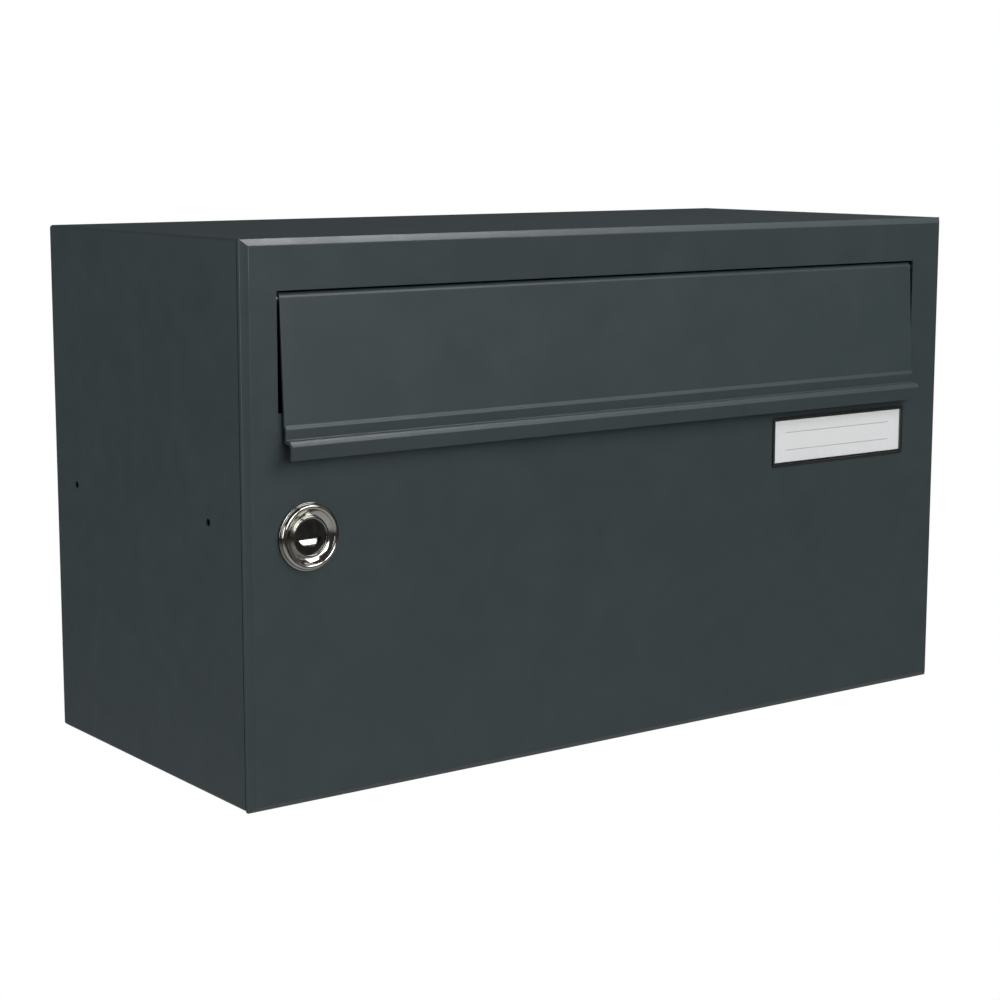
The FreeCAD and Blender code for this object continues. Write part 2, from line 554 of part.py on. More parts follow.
def lock_washer():
    """A steel washer behind the door, under the nut."""
    disc = lock_cylinder(LOCK_WASHER_R, -DOOR_T, -DOOR_T - LOCK_WASHER_T)
    return disc.cut(lock_cylinder(BARREL_R + FIT_GAP, -DOOR_T, -DOOR_T - LOCK_WASHER_T))


def lock_nut():
    """The hexagon nut that clamps the housing to the door."""
    front = -DOOR_T - LOCK_WASHER_T
    corner_r = NUT_ACROSS_FLATS / math.sqrt(3)
    centre = V(LOCK_X, y_at(front), LOCK_Z)
    corners = []
    for i in range(6):
        angle = math.radians(60 * i + 30)
        corners.append(centre + V(math.cos(angle), 0, math.sin(angle)) * corner_r)
    nut = prism(corners, V(0, NUT_T, 0))
    return nut.cut(lock_cylinder(BARREL_R + FIT_GAP, front + 1, front - NUT_T - 1))


def key_mouth():
    """The half-moon opening in the plug's face."""
    radius = (KEY_CHORD_HALF ** 2 + KEY_MOUTH_H ** 2) / (2 * KEY_MOUTH_H)
    centre_z = LOCK_Z - KEY_CHORD_BELOW - KEY_MOUTH_H + radius
    front, back = PLUG_FACE + 1, PLUG_FACE - KEY_MOUTH_T - 1
    disc = rod_along(V(0, 1, 0), radius, front - back, V(LOCK_X, y_at(front), centre_z))
    return disc.common(lock_box(PLUG_R, front, back, -PLUG_R, -KEY_CHORD_BELOW))


def shutter_axis_point(x):
    """The shutter's hinge line at x."""
    return V(x, y_at(PLUG_FACE - KEY_MOUTH_T - SHUTTER_PIVOT_BEHIND), LOCK_Z - SHUTTER_PIVOT_BELOW)


def lock_plug():
    """The plug: key mouth, shutter chamber, keyway, stepped shank and a square tail for the cam."""
    collar_front = -BARREL_LENGTH + COLLAR_L + PLUG_PLAY
    plug = lock_cylinder(PLUG_R, PLUG_FACE, collar_front)
    plug = plug.fuse(lock_cylinder(PLUG_TAIL_R, collar_front, CAM_FRONT))
    half = TAIL_SQUARE / 2
    plug = plug.fuse(lock_box(half, CAM_FRONT, CAM_BACK, -half, half))
    skin_back = PLUG_FACE - KEY_MOUTH_T
    chamber = lock_box(CHAMBER_HALF, skin_back, skin_back - CHAMBER_DEPTH, -CHAMBER_BOTTOM, CHAMBER_TOP)
    keyway_back = skin_back - CHAMBER_DEPTH - KEYWAY_DEPTH
    keyway = lock_box(KEYWAY_HALF, skin_back - CHAMBER_DEPTH + 1, keyway_back, -KEYWAY_BELOW, 0)
    screw_hole = lock_cylinder(SCREW_R + RUN_GAP, CAM_BACK + SCREW_L, CAM_BACK - 1)
    return plug.cut(key_mouth()).cut(chamber).cut(keyway).cut(screw_hole).removeSplitter()


def shutter_pin():
    """The shutter's hinge pin, across the chamber."""
    return rod_along(V(1, 0, 0), SHUTTER_PIN_R, 2 * CHAMBER_HALF, shutter_axis_point(LOCK_X - CHAMBER_HALF))


def dust_shutter():
    """A sprung plate behind the key mouth, leaning back from its hinge pin."""
    start = shutter_axis_point(LOCK_X - SHUTTER_HALF)
    knuckle = rod_along(V(1, 0, 0), SHUTTER_KNUCKLE_R, 2 * SHUTTER_HALF, start)
    plate = Part.makeBox(2 * SHUTTER_HALF, SHUTTER_T, SHUTTER_L, start - V(0, SHUTTER_T / 2, 0))
    plate.rotate(start, V(1, 0, 0), -SHUTTER_TILT)
    bore = rod_along(V(1, 0, 0), SHUTTER_PIN_R + RUN_GAP, 2 * SHUTTER_HALF + 2, start - V(1, 0, 0))
    return plate.fuse(knuckle).cut(bore).removeSplitter()


def lock_cam():
    """The flat cam on the plug's tail. It hangs down when the door is unlocked."""
    hub = lock_cylinder(CAM_W / 2, CAM_FRONT, CAM_BACK)
    bar = lock_box(CAM_W / 2, CAM_FRONT, CAM_BACK, -CAM_REACH, 0)
    half = TAIL_SQUARE / 2 + FIT_GAP / 2
    return hub.fuse(bar).cut(lock_box(half, CAM_FRONT + 1, CAM_BACK - 1, -half, half)).removeSplitter()


def cam_washer():
    """The washer that holds the cam on its square."""
    back = CAM_BACK - CAM_WASHER_T
    return lock_cylinder(CAM_WASHER_R, CAM_BACK, back).cut(lock_cylinder(SCREW_R + FIT_GAP, CAM_BACK, back))


def cam_screw():
    """The screw in the plug's tail, with a slotted head."""
    seat = CAM_BACK - CAM_WASHER_T
    screw = lock_cylinder(SCREW_R, CAM_BACK + SCREW_L - 1, seat)
    screw = screw.fuse(lock_cylinder(SCREW_HEAD_R, seat, seat - SCREW_HEAD_T))
    slot_half = SCREW_R / 4
    slot_floor = seat - SCREW_HEAD_T / 2
    slot = lock_box(SCREW_HEAD_R + 1, slot_floor, seat - SCREW_HEAD_T - 1, -slot_half, slot_half)
    return screw.cut(slot).removeSplitter()


# ---- name card ----
def nameplate_holder():
    """The black holder: a rim on the door's face, a wall through the door and four barbs behind it."""
    holder = holder_outline(HOLDER_RIM, HOLDER_PROUD, 0)
    holder = holder.fuse(holder_outline(HOLDER_WALL, 0, -HOLDER_DEPTH))
    barb_y = SHEET_BACK_Y + FIT_GAP
    for side in (-1, 1):
        edge_z = CARD_Z + side * (CARD_H / 2 + HOLDER_WALL)
        z0, z1 = sorted((edge_z, edge_z + side * BARB_H))
        for x in (CARD_X - BARB_FROM_CENTRE, CARD_X + BARB_FROM_CENTRE):
            holder = holder.fuse(box(x - BARB_W / 2, x + BARB_W / 2, barb_y, barb_y + BARB_L, z0, z1))
    return holder.cut(holder_outline(0, HOLDER_PROUD + 1, -HOLDER_DEPTH - 1)).removeSplitter()


def card_stack():
    """Front and back of the clear window, the card and the backing, outwards from the door's face."""
    window = HOLDER_PROUD - WINDOW_RECESS
    card = window - WINDOW_T
    backing = card - CARD_T
    return {"nameplate_window": (window, card), "name_card": (card, backing),
            "nameplate_backing": (backing, backing - BACKING_T)}


# ---- write one STEP file per part ----
def build():
    """Every part by name."""
    mouth_frame, mouth_strip = mouth_sheets()
    parts = {
        "body_shell": body_shell(),
        "mouth_frame": mouth_frame,
        "mouth_strip": mouth_strip,
        "back_panel": back_panel(),
        "hinge_bracket_upper": hinge_tab(ARM_UPPER_Z),
        "hinge_bracket_lower": hinge_tab(ARM_LOWER_Z),
        "hinge_pin_upper": hinge_pin(ARM_UPPER_Z),
        "hinge_pin_lower": hinge_pin(ARM_LOWER_Z),
        "hinge_washers": Part.makeCompound([hinge_washer(ARM_UPPER_Z), hinge_washer(ARM_LOWER_Z)]),
        "latch_strike": latch_strike(),
        "door_bumpers": door_bumpers(),
        "door_panel": door_panel(),
        "door_arm_upper": door_arm(ARM_UPPER_Z),
        "door_arm_lower": door_arm(ARM_LOWER_Z),
        "flap_bracket_left": flap_bracket(-1),
        "flap_bracket_right": flap_bracket(1),
        "flap_rod": flap_rod(),
        "flap_bumpers": flap_bumpers(),
        "flap_plate": flap_plate(),
        "lock_housing": lock_housing(),
        "lock_gasket": lock_gasket(),
        "lock_washer": lock_washer(),
        "lock_nut": lock_nut(),
        "lock_plug": lock_plug(),
        "lock_cam": lock_cam(),
        "cam_washer": cam_washer(),
        "cam_screw": cam_screw(),
        "shutter_pin": shutter_pin(),
        "dust_shutter": dust_shutter(),
        "nameplate_holder": nameplate_holder(),
    }
    for name, (front, back) in card_stack().items():
        parts[name] = holder_outline(-FIT_GAP, front, back)
    return parts


os.makedirs("parts", exist_ok=True)
for part_name, part_shape in build().items():
    part_shape.exportStep(os.path.join("parts", part_name + ".step"))
    print(part_name, part_shape.isValid(), len(part_shape.Solids), round(part_shape.Volume, 1))
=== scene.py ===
import json
import math

import bmesh
import bpy
import numpy as np
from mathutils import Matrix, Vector


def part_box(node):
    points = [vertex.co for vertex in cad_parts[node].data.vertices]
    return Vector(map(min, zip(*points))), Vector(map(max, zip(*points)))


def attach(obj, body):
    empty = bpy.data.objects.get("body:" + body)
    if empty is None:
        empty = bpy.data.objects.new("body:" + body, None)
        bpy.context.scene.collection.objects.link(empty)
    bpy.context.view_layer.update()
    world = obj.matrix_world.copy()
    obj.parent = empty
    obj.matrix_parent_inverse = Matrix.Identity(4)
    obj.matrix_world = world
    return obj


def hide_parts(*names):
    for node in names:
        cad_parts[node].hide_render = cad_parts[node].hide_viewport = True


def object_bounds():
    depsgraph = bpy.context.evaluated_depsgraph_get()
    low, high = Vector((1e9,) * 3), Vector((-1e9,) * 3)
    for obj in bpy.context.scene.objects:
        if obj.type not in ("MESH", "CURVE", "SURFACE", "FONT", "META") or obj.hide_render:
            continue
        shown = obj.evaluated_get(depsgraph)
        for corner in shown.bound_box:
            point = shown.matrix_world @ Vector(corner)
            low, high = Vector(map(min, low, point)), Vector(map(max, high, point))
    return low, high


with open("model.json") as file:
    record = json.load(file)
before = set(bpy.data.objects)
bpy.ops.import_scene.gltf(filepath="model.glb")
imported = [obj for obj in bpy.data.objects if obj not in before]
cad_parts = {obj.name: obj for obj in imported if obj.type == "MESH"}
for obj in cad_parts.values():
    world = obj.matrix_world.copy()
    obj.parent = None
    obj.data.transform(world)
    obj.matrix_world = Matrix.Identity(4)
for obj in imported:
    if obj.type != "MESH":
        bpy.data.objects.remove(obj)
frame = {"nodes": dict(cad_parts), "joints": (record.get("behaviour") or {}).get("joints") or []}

cad_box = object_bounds()
MM = 0.001
NODES = frame["nodes"]
JOINTS = {joint["name"]: joint for joint in frame["joints"]}


def box_mm(node):
    """Lowest and highest corner of a CAD part, in millimetres."""
    low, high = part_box(node)
    return np.array(low) / MM, np.array(high) / MM


# ---- sizes, in millimetres ----
DOOR_LOW, DOOR_HIGH = box_mm("door_panel")
FLAP_LOW, FLAP_HIGH = box_mm("flap_plate")
ROD_LOW, ROD_HIGH = box_mm("flap_rod")
HEAD_LOW, HEAD_HIGH = box_mm("lock_housing")
CARD_LOW, CARD_HIGH = box_mm("name_card")
HOLDER_LOW, HOLDER_HIGH = box_mm("nameplate_holder")
WINDOW_LOW, WINDOW_HIGH = box_mm("nameplate_window")
FACE_Y = DOOR_LOW[1]
SHEET = 1.0                # thickness of the door's sheet
BEVEL = 2.5
HINGE_RIM_CUT = 0.85       # the rim is shallower by this near the hinges
HINGE_RIM_W = 12.0
BEND = 0.5                 # outer radius of the door's bends
APERTURE_MARGIN = (14.5, 19.7)    # aperture to the door's left and right edges
APERTURE_TOP = DOOR_HIGH[2] - 19.7
APERTURE_HEIGHT = 46.6
LOCK = np.array([(HEAD_LOW[0] + HEAD_HIGH[0]) / 2, FACE_Y, (HEAD_LOW[2] + HEAD_HIGH[2]) / 2])

LOCK_PATCH = 12.0          # half of the square that holds the lock's hole
LOCK_LINES = 9
LOCK_HOLE_R = 9.7
LOCK_HOLE_FLAT = 8.2
HOLDER_STEP = 0.3          # rim of the card's holder over the edge of its hole
HOLDER_RIM = 1.2
HOLDER_WALL = 0.8
BARB_APART = 50.0
BARB_W = 8.0
BARB_H = 0.9
BARB_L = 1.2
CARD_AIR = 0.06            # window to the card
CARD_LINES = (-4.0, 4.0)   # ruled lines, from the card's middle
CARD_LINE_HALF = 0.14      # half of a line's thickness
CARD_LINE_REACH = 33.0     # half of a line's length
RUN_GAP = 0.05
WASHER_T = 0.7
EYE_WALL = 1.0
FLAP_SHEET = 1.4
FLAP_PROUD = 2.4
FLAP_OVERLAP = 4.7
LIP_STEPS = [(1.2, 1.3), (-0.2, 4.2), (2.7, 0.2), (1.7, 1.75), (-0.5, 5.55)]    # (outwards, downwards)
LIP_ROUND = 0.4
CURL_END = 295.0           # the flap's eye is rolled round to this angle
PIN_R = 2.0
PIN_HEAD_T = 1.5
WASHER_CHAMFER = 0.12
HEAD_GASKET = 0.5          # back of the lock's head, in front of the door's face
HEAD_R = (HEAD_HIGH[0] - HEAD_LOW[0]) / 2
BARREL_R = 9.5
BARREL_FLAT = 8.0
BARREL_LENGTH = HEAD_HIGH[1] - FACE_Y
RING_R = 8.15
BORE_R = 7.15
BORE_DEPTH = 18.5
TAIL_BORE_R = 5.45
THREAD_PITCH = 1.0
THREAD_DEPTH = 0.35
DOOR_PAD_R = 3.0
FLAP_PAD_R = 1.5


# ---- making meshes ----
def grid_quads(rows, columns, wrap_rows=False, wrap_columns=False):
    """Corner numbers of every quad of a grid of points; a wrapped direction joins its end to its start."""
    row = np.arange(rows if wrap_rows else rows - 1)[:, None]
    column = np.arange(columns if wrap_columns else columns - 1)[None, :]
    next_row, next_column = (row + 1) % rows, (column + 1) % columns
    corners = [row * columns + column, row * columns + next_column,
               next_row * columns + next_column, next_row * columns + column]
    return np.stack(np.broadcast_arrays(*corners), -1).reshape(-1, 4)


def make_piece(name, points, faces, finish, body, replaces=(), smooth_angle=40.0):
    """A mesh object from points in millimetres: doubles merged, faces turned outwards, riding on its body."""
    mesh = bpy.data.meshes.new(name)
    mesh.from_pydata((np.asarray(points, float) * MM).tolist(), [], [list(face) for face in faces])
    work = bmesh.new()
    work.from_mesh(mesh)
    bmesh.ops.remove_doubles(work, verts=work.verts, dist=0.001 * MM)
    bmesh.ops.dissolve_degenerate(work, edges=work.edges, dist=0.001 * MM)
    bmesh.ops.recalc_face_normals(work, faces=work.faces)
    work.to_mesh(mesh)
    work.free()
    mesh.shade_smooth()
    mesh.set_sharp_from_angle(angle=math.radians(smooth_angle))
    mesh.materials.append(finish)
    piece = bpy.data.objects.new(name, mesh)
    bpy.context.scene.collection.objects.link(piece)
    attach(piece, body)
    if replaces:
        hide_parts(*replaces)
    return piece


def lathe_points(profile, centre, axis, segments=96):
    """Profile points (radius, distance along the axis) turned about the axis: the two other directions
    are radius x cosine and radius x sine of the turn. Returns an array of rows x segments x 3."""
    profile = np.asarray(profile, float)
    turn = np.linspace(0, 2 * np.pi, segments, endpoint=False)
    points = np.zeros((len(profile), segments, 3))
    across = [i for i in range(3) if i != axis]
    points[..., axis] = profile[:, 1:2]
    points[..., across[0]] = profile[:, :1] * np.cos(turn)
    points[..., across[1]] = profile[:, :1] * np.sin(turn)
    return points + np.asarray(centre, float)


def round_corners(corners, radius, steps=5):
    """An open chain of points with an arc of the given radius, or radii, in place of each inner corner:
    the arc runs between the points at radius x tan(half the turn) before and after the corner."""
    corners = np.asarray(corners, float)
    before, after = corners[1:-1] - corners[:-2], corners[2:] - corners[1:-1]
    before = before / np.linalg.norm(before, axis=1, keepdims=True)
    after = after / np.linalg.norm(after, axis=1, keepdims=True)
    turn = np.arctan2(before[:, 0] * after[:, 1] - before[:, 1] * after[:, 0], (before * after).sum(1))
    radii = np.broadcast_to(np.asarray(radius, float), turn.shape)
    reach = radii * np.tan(np.abs(turn) / 2)
    starts = corners[1:-1] - before * reach[:, None]
    inwards = np.stack([-before[:, 1], before[:, 0]], 1) * np.sign(turn)[:, None]
    middles = starts + inwards * radii[:, None]
    angle = turn[:, None] * np.linspace(0, 1, steps)[None, :]
    spoke = -inwards * radii[:, None]
    x = spoke[:, :1] * np.cos(angle) - spoke[:, 1:] * np.sin(angle)
    z = spoke[:, :1] * np.sin(angle) + spoke[:, 1:] * np.cos(angle)
    arcs = middles[:, None, :] + np.stack([x, z], -1)
    return np.concatenate([corners[:1], arcs.reshape(-1, 2), corners[-1:]])


def offset_chain(chain, distance):
    """The chain moved sideways by a distance, to its right as it is walked, with mitred corners."""
    chain = np.asarray(chain, float)
    run = np.diff(chain, axis=0)
    run = run / np.linalg.norm(run, axis=1, keepdims=True)
    normal = np.stack([run[:, 1], -run[:, 0]], 1)
    first, second = np.vstack([normal[:1], normal]), np.vstack([normal, normal[-1:]])
    return chain + distance * (first + second) / (1 + (first * second).sum(1, keepdims=True))


def soften(piece, width, segments=2, angle=35.0):
    """Rounds the piece's sharp edges to a radius of about width millimetres."""
    bevel = piece.modifiers.new("soft edges", "BEVEL")
    bevel.width = width * MM
    bevel.segments = segments
    bevel.limit_method = "ANGLE"
    bevel.angle_limit = math.radians(angle)
    bevel.harden_normals = True
    return piece


# ---- finishes ----
class Finish:
    """A material on one Principled shader, with helpers that hang noise, colour and bump on it."""

    def __init__(self, name, **sockets):
        self.material = bpy.data.materials.new(name)
        self.material.use_nodes = True
        self.nodes = self.material.node_tree.nodes
        self.links = self.material.node_tree.links
        self.shader = self.nodes["Principled BSDF"]
        for socket, value in sockets.items():
            self.shader.inputs[socket.replace("_", " ")].default_value = value
        self.place = self.nodes.new("ShaderNodeTexCoord").outputs["Object"]
        self.bumps = None

    def mapped(self, centre=(0, 0, 0), scale=(1, 1, 1)):
        """Object coordinates measured from centre (in metres) and stretched by scale."""
        node = self.nodes.new("ShaderNodeMapping")
        node.vector_type = "TEXTURE"
        node.inputs["Location"].default_value = centre
        node.inputs["Scale"].default_value = tuple(1 / s for s in scale)
        self.links.new(self.place, node.inputs["Vector"])
        return node.outputs["Vector"]

    def noise(self, size_mm, detail=2.0, roughness=0.5, where=None):
        """Noise whose features are about size_mm across."""
        node = self.nodes.new("ShaderNodeTexNoise")
        node.inputs["Scale"].default_value = 1000 / size_mm
        node.inputs["Detail"].default_value = detail
        node.inputs["Roughness"].default_value = roughness
        self.links.new(where or self.place, node.inputs["Vector"])
        return node.outputs["Fac"]

    def ramp(self, value, low, high, start=0.3, end=0.7):
        """A value between start and end becomes a colour, or a grey, between low and high."""
        node = self.nodes.new("ShaderNodeValToRGB")
        first, last = node.color_ramp.elements
        first.position, last.position = start, end
        first.color = (low, low, low, 1) if np.isscalar(low) else (*low, 1)
        last.color = (high, high, high, 1) if np.isscalar(high) else (*high, 1)
        self.links.new(value, node.inputs["Fac"])
        return node.outputs["Color"]

    def feed(self, socket, output):
        """Links an output to a socket of the shader."""
        self.links.new(output, self.shader.inputs[socket])

    def bump(self, height, depth_mm, strength=1.0):
        """Adds a relief of the given depth; reliefs stack."""
        node = self.nodes.new("ShaderNodeBump")
        node.inputs["Strength"].default_value = strength
        node.inputs["Distance"].default_value = depth_mm * MM
        self.links.new(height, node.inputs["Height"])
        if self.bumps is not None:
            self.links.new(self.bumps, node.inputs["Normal"])
        self.bumps = node.outputs["Normal"]
        self.feed("Normal", self.bumps)


COAT_DARK = (0.0335, 0.0470, 0.0505)
COAT_LIGHT = (0.0372, 0.0518, 0.0556)


def powder_coat(name, roughness, tone=1.0):
    """Satin powder coat in anthracite: fine orange peel, a slow drift of tone and gloss."""
    finish = Finish(name, Roughness=roughness, Specular_IOR_Level=0.5)
    dark, light = tone * np.array(COAT_DARK), tone * np.array(COAT_LIGHT)
    finish.feed("Base Color", finish.ramp(finish.noise(9, 3), dark, light))
    finish.feed("Roughness", finish.ramp(finish.noise(22, 3), roughness - 0.03, roughness + 0.03))
    finish.bump(finish.noise(2.6, 2), 0.020, 0.5)
    finish.bump(finish.noise(0.7, 2), 0.006, 0.5)
    return finish.material


def polished_chrome(name, roughness, colour):
    """Bright plating with a faint haze and the ripple of the casting under it."""
    finish = Finish(name, Metallic=1.0, Base_Color=(*colour, 1))
    finish.feed("Roughness", finish.ramp(finish.noise(3.5, 4), roughness, roughness + 0.07))
    finish.bump(finish.noise(2.4, 2), 0.010, 0.4)
    return finish.material


def turned_face(name, centre_mm, roughness, colour):
    """Plated metal with the fine rings of turning about the lock's axis."""
    finish = Finish(name, Metallic=1.0, Base_Color=(*colour, 1))
    where = finish.mapped(tuple(c * MM for c in centre_mm))
    rings = finish.nodes.new("ShaderNodeTexWave")
    rings.wave_type = "RINGS"
    rings.rings_direction = "Y"
    rings.inputs["Scale"].default_value = 900
    rings.inputs["Distortion"].default_value = 1.5
    finish.links.new(where, rings.inputs["Vector"])
    finish.feed("Roughness", finish.ramp(finish.noise(2, 4), roughness, roughness + 0.1))
    finish.bump(rings.outputs["Fac"], 0.004, 0.6)
    return finish.material


def zinc_plate(name, roughness):
    """Zinc plated steel: cloudy patches between blue-grey and faintly yellow, fine drawing lines."""
    finish = Finish(name, Metallic=1.0)
    clouds = finish.noise(3, 4, 0.6)
    finish.feed("Base Color", finish.ramp(clouds, (0.50, 0.53, 0.56), (0.68, 0.66, 0.60), 0.35, 0.65))
    finish.feed("Roughness", finish.ramp(finish.noise(1.2, 3), roughness - 0.08, roughness + 0.10))
    finish.bump(finish.noise(0.4, 2), 0.004, 0.6)
    return finish.material


def moulded_plastic(name, colour, roughness=0.4):
    """Injection moulded plastic with a fine spark-eroded grain."""
    finish = Finish(name, Base_Color=(*colour, 1))
    finish.feed("Roughness", finish.ramp(finish.noise(5, 3), roughness - 0.05, roughness + 0.07))
    finish.bump(finish.noise(0.35, 3), 0.012, 0.6)
    return finish.material


def black_rubber(name):
    """Matt rubber with a little bloom."""
    finish = Finish(name, Roughness=0.75)
    finish.feed("Base Color", finish.ramp(finish.noise(1.5, 3), (0.012, 0.012, 0.013), (0.024, 0.024, 0.025)))
    finish.bump(finish.noise(0.5, 3), 0.02, 0.6)
    return finish.material


def clear_sheet(name):
    """A clear acrylic sheet: what shows is its gloss and a faint haze."""
    finish = Finish(name, Base_Color=(0.8, 0.82, 0.82, 1), Alpha=0.05, IOR=1.49)
    finish.feed("Roughness", finish.ramp(finish.noise(12, 3), 0.04, 0.10))
    finish.material.surface_render_method = "BLENDED"
    return finish.material


def ruled_card(name, centre_mm):
    """White card with two fine grey ruled lines to write a name on, and a faint paper grain."""
    finish = Finish(name, Roughness=0.55)
    where = finish.mapped(tuple(c * MM for c in centre_mm))
    split = finish.nodes.new("ShaderNodeSeparateXYZ")
    finish.links.new(where, split.inputs["Vector"])

    def near(output, value, half):
        """One where output, in metres, is within half of value, both in millimetres."""
        node = finish.nodes.new("ShaderNodeMath")
        node.operation = "COMPARE"
        node.inputs[1].default_value = value * MM
        node.inputs[2].default_value = half * MM
        finish.links.new(output, node.inputs[0])
        return node.outputs["Value"]

    def combine(operation, first, second):
        """One number worked out from two."""
        node = finish.nodes.new("ShaderNodeMath")
        node.operation = operation
        finish.links.new(first, node.inputs[0])
        finish.links.new(second, node.inputs[1])
        return node.outputs["Value"]

    lines = combine("MAXIMUM", *[near(split.outputs["Z"], z, CARD_LINE_HALF) for z in CARD_LINES])
    lines = combine("MULTIPLY", lines, near(split.outputs["X"], 0, CARD_LINE_REACH))
    paper = finish.ramp(finish.noise(0.8, 4), (0.80, 0.81, 0.82), (0.86, 0.87, 0.87))
    mix = finish.nodes.new("ShaderNodeMix")
    mix.data_type = "RGBA"
    finish.links.new(lines, mix.inputs["Factor"])
    finish.links.new(paper, mix.inputs[6])
    mix.inputs[7].default_value = (0.30, 0.33, 0.36, 1)
    finish.feed("Base Color", mix.outputs[2])
    finish.bump(finish.noise(0.25, 3), 0.006, 0.5)
    return finish.material


COAT = powder_coat("anthracite_powder_coat", 0.40)
# The flap's coat is the case's paint made 3% lighter: painted light, for the flap's brighter look where it
# tilts up towards the lamps.
FLAP_COAT_PAINTED_LIGHT = powder_coat("flap_powder_coat_painted_light", 0.38, 1.03)
CHROME = polished_chrome("lock_chrome_plate", 0.07, (0.50, 0.49, 0.455))
# The plug's plating is darkened to a reflectance of about 0.16: painted shade, standing in for the dark
# surroundings its flat face mirrors.
PLUG_CHROME_PAINTED_DARK = turned_face("plug_plate_painted_dark", LOCK, 0.16, (0.16, 0.155, 0.145))
SHUTTER_STEEL = turned_face("shutter_steel_sheet", LOCK, 0.18, (0.72, 0.72, 0.71))
ZINC = zinc_plate("zinc_plated_steel", 0.34)
HOLDER_PLASTIC = moulded_plastic("holder_black_plastic", (0.012, 0.012, 0.013))
NYLON = moulded_plastic("natural_nylon", (0.72, 0.70, 0.64), 0.5)
RUBBER = black_rubber("bumper_rubber")
WINDOW = clear_sheet("window_acrylic")
CARD = ruled_card("ruled_name_card", (CARD_LOW + CARD_HIGH) / 2)

FINISH_OF_SLOT = {
    "case_coat": COAT, "flap_coat": FLAP_COAT_PAINTED_LIGHT, "zinc_steel": ZINC, "white_nylon": NYLON,
    "black_rubber": RUBBER, "lock_chrome": CHROME, "plug_chrome": PLUG_CHROME_PAINTED_DARK, "shutter_steel": SHUTTER_STEEL,
    "black_plastic": HOLDER_PLASTIC, "clear_window": WINDOW, "card": CARD,
}
for node in NODES.values():
    node.material_slots[0].material = FINISH_OF_SLOT[node.material_slots[0].material.name.split(".")[0]]


# ---- door ----
def door_skin():
    """The door's sheet. Face: a grid of lines at the edges of every opening, less the cells inside them.
    Edge: a profile (inset from the door's outline, depth) from the face over the bevel to the rim's end,
    carried round the outline with mitred corners, so a point is its face-edge point plus its outward
    direction x (face inset - inset). Solidify gives the sheet its thickness, inwards."""
    face_inset = BEVEL + BEND
    low, high = DOOR_LOW[[0, 2]] + face_inset, DOOR_HIGH[[0, 2]] - face_inset
    aperture = [DOOR_LOW[0] + APERTURE_MARGIN[0], APERTURE_TOP - APERTURE_HEIGHT,
                DOOR_HIGH[0] - APERTURE_MARGIN[1], APERTURE_TOP]
    window = [HOLDER_LOW[0] + HOLDER_STEP, HOLDER_LOW[2] + HOLDER_STEP,
              HOLDER_HIGH[0] - HOLDER_STEP, HOLDER_HIGH[2] - HOLDER_STEP]
    lock_x = LOCK[0] + np.linspace(-LOCK_PATCH, LOCK_PATCH, LOCK_LINES)
    lock_z = LOCK[2] + np.linspace(-LOCK_PATCH, LOCK_PATCH, LOCK_LINES)
    openings = [aperture, window, [lock_x[0], lock_z[0], lock_x[-1], lock_z[-1]]]
    cut_x = DOOR_HIGH[0] - HINGE_RIM_W
    x = np.unique(np.concatenate([[low[0], cut_x, cut_x + 0.02, high[0]], lock_x,
                                  aperture[::2], window[::2]]))
    z = np.unique(np.concatenate([[low[1], high[1]], lock_z, aperture[1::2], window[1::2]]))
    grid = np.stack(np.meshgrid(x, [FACE_Y], z, indexing="ij"), -1).reshape(-1, 3)
    quads = grid_quads(len(x), len(z))
    middle = grid[quads].mean(1)
    solid = np.ones(len(quads), bool)
    for left, bottom, right, top in openings:
        inside = (middle[:, 0] > left) & (middle[:, 0] < right)
        inside &= (middle[:, 2] > bottom) & (middle[:, 2] < top)
        solid &= ~inside
    quads = quads[solid]

    # round hole with two flats, joined to its square patch: both outlines share one turn per point
    side = np.linspace(-LOCK_PATCH, LOCK_PATCH, LOCK_LINES)[:-1]
    square = np.concatenate([np.stack([side, np.full_like(side, -LOCK_PATCH)], 1),
                             np.stack([np.full_like(side, LOCK_PATCH), side], 1),
                             np.stack([-side, np.full_like(side, LOCK_PATCH)], 1),
                             np.stack([np.full_like(side, -LOCK_PATCH), -side], 1)])
    turn = np.arctan2(square[:, 1], square[:, 0])
    hole = np.stack([np.clip(LOCK_HOLE_R * np.cos(turn), -LOCK_HOLE_FLAT, LOCK_HOLE_FLAT),
                     LOCK_HOLE_R * np.sin(turn)], 1)
    patch = np.stack([square, hole])
    patch = np.stack([LOCK[0] + patch[..., 0], np.full(patch.shape[:2], FACE_Y), LOCK[2] + patch[..., 1]], -1)

    # edge profile round the outline, with a point at every grid line
    bottom_edge = np.stack([x, np.full_like(x, z[0])], 1)[:-1]
    right_edge = np.stack([np.full_like(z, x[-1]), z], 1)[:-1]
    top_edge = np.stack([x[::-1], np.full_like(x, z[-1])], 1)[:-1]
    left_edge = np.stack([np.full_like(z, x[0]), z[::-1]], 1)[:-1]
    outline = np.concatenate([bottom_edge, right_edge, top_edge, left_edge])
    outwards = np.stack([(outline[:, 0] == x[-1]).astype(float) - (outline[:, 0] == x[0]),
                         (outline[:, 1] == z[-1]).astype(float) - (outline[:, 1] == z[0])], 1)
    corners = [(face_inset, FACE_Y), (BEVEL, FACE_Y), (0, FACE_Y + BEVEL), (0, DOOR_HIGH[1])]
    profile = round_corners(corners, BEND, 6)
    reach = (face_inset - profile[:, 0])[:, None, None] * outwards[None]
    band = np.zeros((len(profile), len(outline), 3))
    band[..., [0, 2]] = outline[None] + reach
    band[..., 1] = profile[:, 1:2]
    band[-1, :, 1] -= HINGE_RIM_CUT * (outline[:, 0] > cut_x)

    points, faces = join_grids([
        (grid, quads), (patch.reshape(-1, 3), grid_quads(2, len(turn), wrap_columns=True)),
        (band.reshape(-1, 3), grid_quads(len(profile), len(outline), wrap_columns=True))])
    piece = make_piece("door_skin", points, faces, COAT, "door", ["door_panel"])
    return soften(thicken(piece, SHEET), 0.22)


